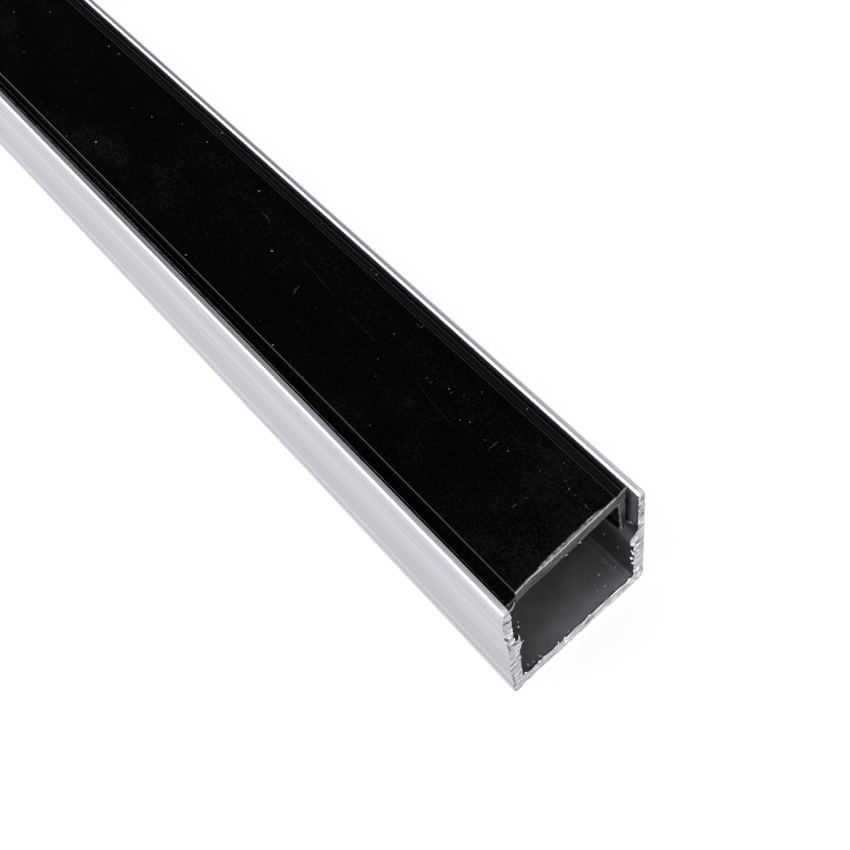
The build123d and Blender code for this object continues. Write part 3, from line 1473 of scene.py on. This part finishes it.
@dataclass
class CoverDustAndHighlights:
    """Specks, lint and scuffs that lie on the cover, and painted highlight lines along its flanges.

    Attributes:
        cover: The cover that they lie on.
        specks: Place along and across, and how coarse, of each speck.
        scuffs_and_painted_lines: Finish, width and points of each scratch, thread of lint and painted
            highlight line along a flange.
        bright: The finish of the coarser specks, and of the painted highlight along the left flange's edge.
        faint: The finish of the rest, painted highlight lines among them.
        seed: Start of their random sizes and turns.
    """

    SPECK_LENGTHS: ClassVar[Point3] = (0.045, 0.06, 0.09)
    SPECK_HEIGHT: ClassVar[float] = 0.02
    LONGER_UP_TO: ClassVar[float] = 215.0
    LONGER: ClassVar[float] = 1.5
    SCUFF_LIFT: ClassVar[float] = 0.004
    SCUFF_THICKNESS: ClassVar[float] = 0.008

    cover: Cover
    specks: tuple[tuple[float, float, int], ...] = (
        (147.74, 0.41, 3), (151.13, 3.57, 2), (162.0, 5.47, 3), (164.12, 5.57, 3), (155.26, -2.34, 2),
        (156.13, -1.04, 1), (158.03, -0.2, 1), (161.61, 0.35, 1), (176.14, 2.67, 3), (179.6, 4.47, 2),
        (184.05, 4.9, 2), (183.44, 7.14, 3), (174.95, -3.98, 3), (171.69, -5.86, 2), (172.88, 3.08, 1),
        (176.03, 5.01, 1), (194.34, 4.8, 2), (197.66, 0.12, 1), (202.34, 0.94, 3), (204.68, -0.68, 1),
        (202.38, 7.07, 3), (196.44, -5.8, 3), (197.48, -4.75, 1), (211.06, 7.0, 2), (211.94, 6.96, 3),
        (213.69, 6.51, 2), (208.95, 4.22, 2), (219.63, 3.35, 2), (222.26, 3.98, 1), (220.98, 0.39, 2),
        (222.47, -0.97, 3), (225.99, 2.38, 3), (226.73, 2.99, 2), (218.27, -1.04, 1), (216.08, -0.15, 1),
        (211.66, -0.21, 1), (212.51, -5.98, 2), (228.41, 3.07, 3), (230.79, 5.07, 3), (231.86, 1.59, 3),
        (232.66, 2.12, 3), (235.13, 1.84, 3), (237.46, 2.58, 3), (241.82, 5.36, 3), (234.77, 7.05, 3),
        (244.16, 3.88, 3), (244.98, 3.84, 2), (246.46, 3.79, 3), (241.02, 3.26, 2), (244.76, -4.13, 1),
        (245.88, -4.07, 1),
    )
    scuffs_and_painted_lines: tuple[tuple[int, float, tuple[Point, ...]], ...] = (
        (1, 0.016, ((204.94, 2.61), (208.06, 2.38), (211.0, 2.06))),
        (1, 0.014, ((214.2, 1.75), (217.5, 1.58), (219.6, 1.50))),
        (1, 0.016, ((225.64, 1.34), (228.49, 0.99), (230.11, 0.88), (232.18, 0.63))),
        # The next three long lines along the flanges are painted highlights
        (1, 0.035, ((140.0, 6.79), (170.0, 6.80), (205.0, 6.78), (246.8, 6.79))),
        (1, 0.060, ((140.0, -6.80), (160.0, -6.81), (185.0, -6.80), (212.0, -6.81))),
        (0, 0.070, ((140.0, -7.33), (175.0, -7.33), (210.0, -7.33), (248.6, -7.33))),
        (1, 0.080, ((242.22, -1.09), (242.24, -0.72), (242.25, -0.40))),
        (1, 0.070, ((242.33, 0.25), (242.38, 0.52), (242.42, 0.79))),
        (1, 0.075, ((236.15, 1.34), (236.08, 2.22), (236.08, 2.69))),
        (1, 0.095, ((208.64, -0.75), (208.29, -0.37), (208.21, 0.29))),
        (1, 0.060, ((197.08, 3.3), (198.05, 3.27), (198.86, 3.09))),
        (1, 0.060, ((246.10, 3.80), (246.55, 3.79), (246.95, 3.77))),
        (1, 0.110, ((220.04, 5.72), (220.86, 5.69), (220.77, 6.13))),
    )
    bright: PaleDust = PaleDust("pale_dust_and_highlight", 0.05, 0.45)
    faint: PaleDust = PaleDust("faint_scuffs_and_highlights", 0.004, 0.055)
    seed: int = 11

    def surface_at(self, across: float) -> float:
        """Returns the height of the cover at a place across it."""
        on_plate = abs(across) < self.cover.plate_edge
        return self.cover.plate_top if on_plate else self.cover.flange_top

    def build(self) -> bpy.types.Object:
        """Builds the specks as flattened grains, and the scuffs and painted highlight lines as thin slivers,
        as one piece.

        Returns:
            The piece, riding on the frame.
        """
        bm = bmesh.new()
        dice = random.Random(self.seed)
        for along, across, coarse in self.specks:
            length = self.SPECK_LENGTHS[coarse - 1] * dice.uniform(0.7, 1.3)
            length *= 1.0 if along > self.LONGER_UP_TO else self.LONGER
            scale = (length, length * dice.uniform(0.3, 0.9), self.SPECK_HEIGHT)
            at = (along, across, self.surface_at(across))
            for face in add_grain(bm, at, scale, dice.uniform(0, math.pi)):
                face.material_index = 0 if coarse > 1 else 1
        for finish, width, points in self.scuffs_and_painted_lines:
            path = [Vector((x, y, self.surface_at(y) + self.SCUFF_LIFT)) for x, y in points]
            for face in add_sliver(bm, path, width, Vector((0, 0, 1)), self.SCUFF_THICKNESS):
                face.material_index = finish
        return finish_piece(bm, "cover_dust_and_highlights", None)

    def dress(self, piece: bpy.types.Object) -> None:
        """Gives the specks, the fainter scuffs and the painted highlight lines their finishes."""
        for finish in (self.bright, self.faint):
            piece.data.materials.append(finish.material())


@dataclass(frozen=True)
class Lamp:
    """One soft lamp, with its places and sizes in metres.

    Attributes:
        name: The lamp's name.
        at: Where it hangs.
        target: What it faces.
        size: Its width and height.
        power: Its power in watts.
    """

    name: str
    at: Point3
    target: Point3
    size: Point
    power: float

    def hang(self) -> None:
        """Hangs the lamp."""
        data = bpy.data.lights.new(self.name, "AREA")
        data.shape = "RECTANGLE"
        data.size, data.size_y = self.size
        data.energy = self.power
        lamp = bpy.data.objects.new(self.name, data)
        aim = (Vector(self.target) - Vector(self.at)).to_track_quat("-Z", "Y")
        lamp.matrix_world = Matrix.Translation(self.at) @ aim.to_matrix().to_4x4()
        bpy.context.scene.collection.objects.link(lamp)


@dataclass
class Studio:
    """The pale floor, the soft lamps and the camera.

    Attributes:
        camera_at: Where the camera stands.
        azimuth: The direction that it looks from, round the bar.
        elevation: How steeply it looks down.
        roll: How far it is turned about its own axis.
        lens: Its focal length on a 36 mm sensor.
        fill: Level of the plain light from all round.
        flag: Direction of the dark cloth that gloss seen from the camera shows.
        side_flag: Direction of the grey cloth beside the bar.
        floor_size: Half the floor's side, in metres.
        floor_drop: How far the floor lies below the bar, in metres.
        lamps: The soft lamps.
    """

    PAPER: ClassVar[float] = 0.80
    PAPER_SHADE: ClassVar[float] = 0.26
    PAPER_GLOW: ClassVar[float] = 0.86
    NEAR_END: ClassVar[Point3] = (0.22, 0.0, 0.01)

    camera_at: Point3 = (300.242, -39.210, 123.090)
    azimuth: float = -28.520
    elevation: float = 53.589
    roll: float = 11.991
    lens: float = 62.689
    fill: float = 0.52
    flag: Point3 = (-0.68, 0.24, 0.69)
    side_flag: Point3 = (-0.52, 0.85, 0.05)
    floor_size: float = 4.0
    floor_drop: float = 0.00005
    lamps: tuple[Lamp, ...] = (
        Lamp("left_softbox", (-0.26, -0.71, 0.44), NEAR_END, (1.3, 0.8), 7.2),
        Lamp("front_softbox", (1.35, 0.35, 0.32), NEAR_END, (0.5, 0.35), 2.2),
    )

    def place_camera(self) -> None:
        """Puts the camera where the photographer stood."""
        az, el, roll = (math.radians(a) for a in (self.azimuth, self.elevation, self.roll))
        forward = Vector((-math.cos(el) * math.cos(az), -math.cos(el) * math.sin(az), -math.sin(el)))
        level = forward.cross(Vector((0, 0, 1))).normalized()
        down = forward.cross(level)
        right = level * math.cos(roll) + down * math.sin(roll)
        up = level * math.sin(roll) - down * math.cos(roll)
        data = bpy.data.cameras.new("camera")
        data.lens = self.lens
        data.sensor_width = 36.0
        data.clip_start = 0.005
        camera = bpy.data.objects.new("camera", data)
        turn = Matrix((right, up, -forward)).transposed().to_4x4()
        camera.matrix_world = Matrix.Translation(Vector(self.camera_at) * MM) @ turn
        bpy.context.scene.collection.objects.link(camera)
        bpy.context.scene.camera = camera

    def lay_floor(self) -> None:
        """Lays a white floor that keeps the bar's shadow."""
        bm = bmesh.new()
        bmesh.ops.create_grid(bm, x_segments=1, y_segments=1, size=self.floor_size)
        bmesh.ops.translate(bm, verts=bm.verts, vec=(0, 0, -self.floor_drop))
        mesh = bpy.data.meshes.new("studio_floor")
        bm.to_mesh(mesh)
        bm.free()
        floor = bpy.data.objects.new("studio_floor", mesh)
        bpy.context.scene.collection.objects.link(floor)
        mesh.materials.append(self.floor_material())

    def floor_material(self) -> bpy.types.Material:
        """Makes white paper that shows as white and lights the bar no more than paper would.

        Returns:
            The new material.
        """
        made = bpy.data.materials.new("white_studio_paper")
        bench = NodeBench(made)
        paper = bench.add("BsdfDiffuse", {"Color": grey(self.PAPER)}).outputs[0]
        shade = bench.add("BsdfDiffuse", {"Color": grey(self.PAPER_SHADE)}).outputs[0]
        glow = bench.add("Emission", {"Color": grey(1.0), "Strength": self.PAPER_GLOW}).outputs[0]
        shown = bench.add("AddShader", {0: shade, 1: glow}).outputs[0]
        mixed = bench.add("MixShader", {0: bench.seen_directly(), 1: paper, 2: shown}).outputs[0]
        bench.add("OutputMaterial", {"Surface": mixed})
        return made

    def hang_backdrop(self) -> None:
        """Surrounds the bar with plain light, and with a white wall and two cloths where it shows."""
        world = bpy.data.worlds.new("studio")
        bpy.context.scene.world = world
        bench = NodeBench(world)
        direction = bench.add("TexCoord").outputs["Generated"]
        dark = self.cloth(bench, direction, self.flag, (20, 30), 0.01)
        wall = bench.times(dark, self.cloth(bench, direction, self.side_flag, (22, 38), 0.35))
        plain = bench.add("Background", {"Color": grey(1.0), "Strength": self.fill}).outputs[0]
        shown = bench.add("Background", {"Color": wall, "Strength": 1.0}).outputs[0]
        mixed = bench.add("MixShader", {0: bench.seen_directly(), 1: plain, 2: shown}).outputs[0]
        bench.add("OutputWorld", {"Surface": mixed})

    def cloth(
        self, bench: NodeBench, direction: Socket, toward: Point3, reach: Point, level: float,
    ) -> Socket:
        """Shades the backdrop where a cloth hangs.

        Args:
            bench: The backdrop's nodes.
            direction: The direction looked at.
            toward: The direction of the cloth's middle.
            reach: Degrees from its middle where it is whole, and where it ends.
            level: How bright the cloth is.

        Returns:
            The brightness: 1 in the open, and the cloth's level behind it.
        """
        near = bench.add("VectorMath", {0: direction, 1: toward}, operation="DOT_PRODUCT").outputs["Value"]
        whole, edge = (math.cos(math.radians(angle)) for angle in reach)
        return bench.span(near, (edge, whole), (1.0, level))

    def build(self) -> None:
        """Sets up the floor, the backdrop, the lamps and the camera."""
        bpy.context.scene.view_settings.view_transform = "Standard"
        self.lay_floor()
        self.hang_backdrop()
        for lamp in self.lamps:
            lamp.hang()
        self.place_camera()


def near_cut() -> SawCut:
    """Lays out the cut at the near end of the channel, with its tears and its darkened scratches.

    Returns:
        The cut.
    """
    tears = (
        Tear(-8.62, 12.0, 0.42, 1.7, 0.42),
        Tear(-8.58, 10.25, 0.40, 0.3, 0.22),
        Tear(-8.50, 7.2, 0.70, 1.2, -0.20),
        Tear(-8.30, 1.5, 0.90, 2.2, -0.14),
        Tear(-6.70, 8.35, 0.42, 0.60, 0.55),
    )
    creases = (
        Crease((7.55, 7.22), (8.10, 7.00), 0.18), Crease((7.66, 7.83), (7.91, 7.76), 0.16),
        Crease((7.53, 1.78), (8.13, 1.81), 0.16), Crease((8.09, 1.12), (8.36, 1.11), 0.16),
        Crease((7.98, 5.69), (8.40, 5.89), 0.12, 0.04), Crease((7.22, 5.92), (7.32, 6.05), 0.30),
        Crease((8.12, 11.28), (8.52, 11.30), 0.22), Crease((7.74, 13.92), (7.80, 13.94), 0.30),
        Crease((7.74, 13.10), (7.80, 13.08), 0.28), Crease((8.19, 14.55), (8.34, 14.57), 0.26),
        Crease((7.79, 9.23), (7.95, 9.32), 0.18), Crease((0.83, 0.65), (1.79, 0.94), 0.18, 0.03),
        Crease((-8.50, 14.59), (-7.79, 14.51), 0.16), Crease((-8.50, 13.83), (-8.40, 13.94), 0.20),
        Crease((-8.50, 13.15), (-8.42, 13.17), 0.22), Crease((-8.50, 10.60), (-8.30, 9.97), 0.22),
        Crease((-7.81, 8.77), (-7.44, 8.46), 0.22, 0.08), Crease((-8.08, 5.62), (-7.35, 6.16), 0.22),
        Crease((-8.41, 9.62), (-8.24, 8.48), 0.16, 0.04), Crease((-8.36, 3.52), (-8.22, 1.76), 0.12, 0.03),
        Crease((-8.25, 0.67), (-8.16, 0.30), 0.14, 0.02), Crease((-6.78, 1.62), (-6.74, 1.40), 0.24, 0.14),
    )
    return SawCut(
        End.NEAR, 249.05, skew=-0.0712, lean=0.0284, groove=0.11, chips=0.09, seed=3.0,
        tears=tears, creases=creases,
    )


def near_cover_cut() -> SawCut:
    """Lays out the cut at the near end of the cover.

    Returns:
        The cut.
    """
    tears = (Tear(-4.4, 14.5, 1.3, 3.0, 0.11), Tear(7.0, 8.9, 2.0, 3.0, 0.40))
    return SawCut(
        End.NEAR, 249.02, skew=-0.104, lean=-0.05, groove=0.025, chips=0.02, seed=5.0, tears=tears,
    )


def main() -> None:
    """Builds the bar's pieces and the studio."""
    logging.basicConfig(level=logging.INFO, format="%(name)s: %(message)s")
    near = near_cut()
    far = SawCut(End.FAR, 249.75, skew=0.012, lean=-0.008, groove=0.08, chips=0.14, seed=23.0)
    far_cover = SawCut(End.FAR, 248.85, groove=0.05, chips=0.06, seed=29.0)
    channel = Channel("channel_bar", "channel", near, far)
    cover = Cover("cover_strip", "cover", near_cover_cut(), far_cover)
    for part in (channel, cover, SawBurrs(near, 249.99), CoverBurrs(), ChamberSwarf(), CoverDustAndHighlights(cover)):
        piece = part.build()
        part.dress(piece)
        LOG.info("%s: %d faces", piece.name, len(piece.data.polygons))
    Studio().build()


if __name__ == "__main__":
    main()
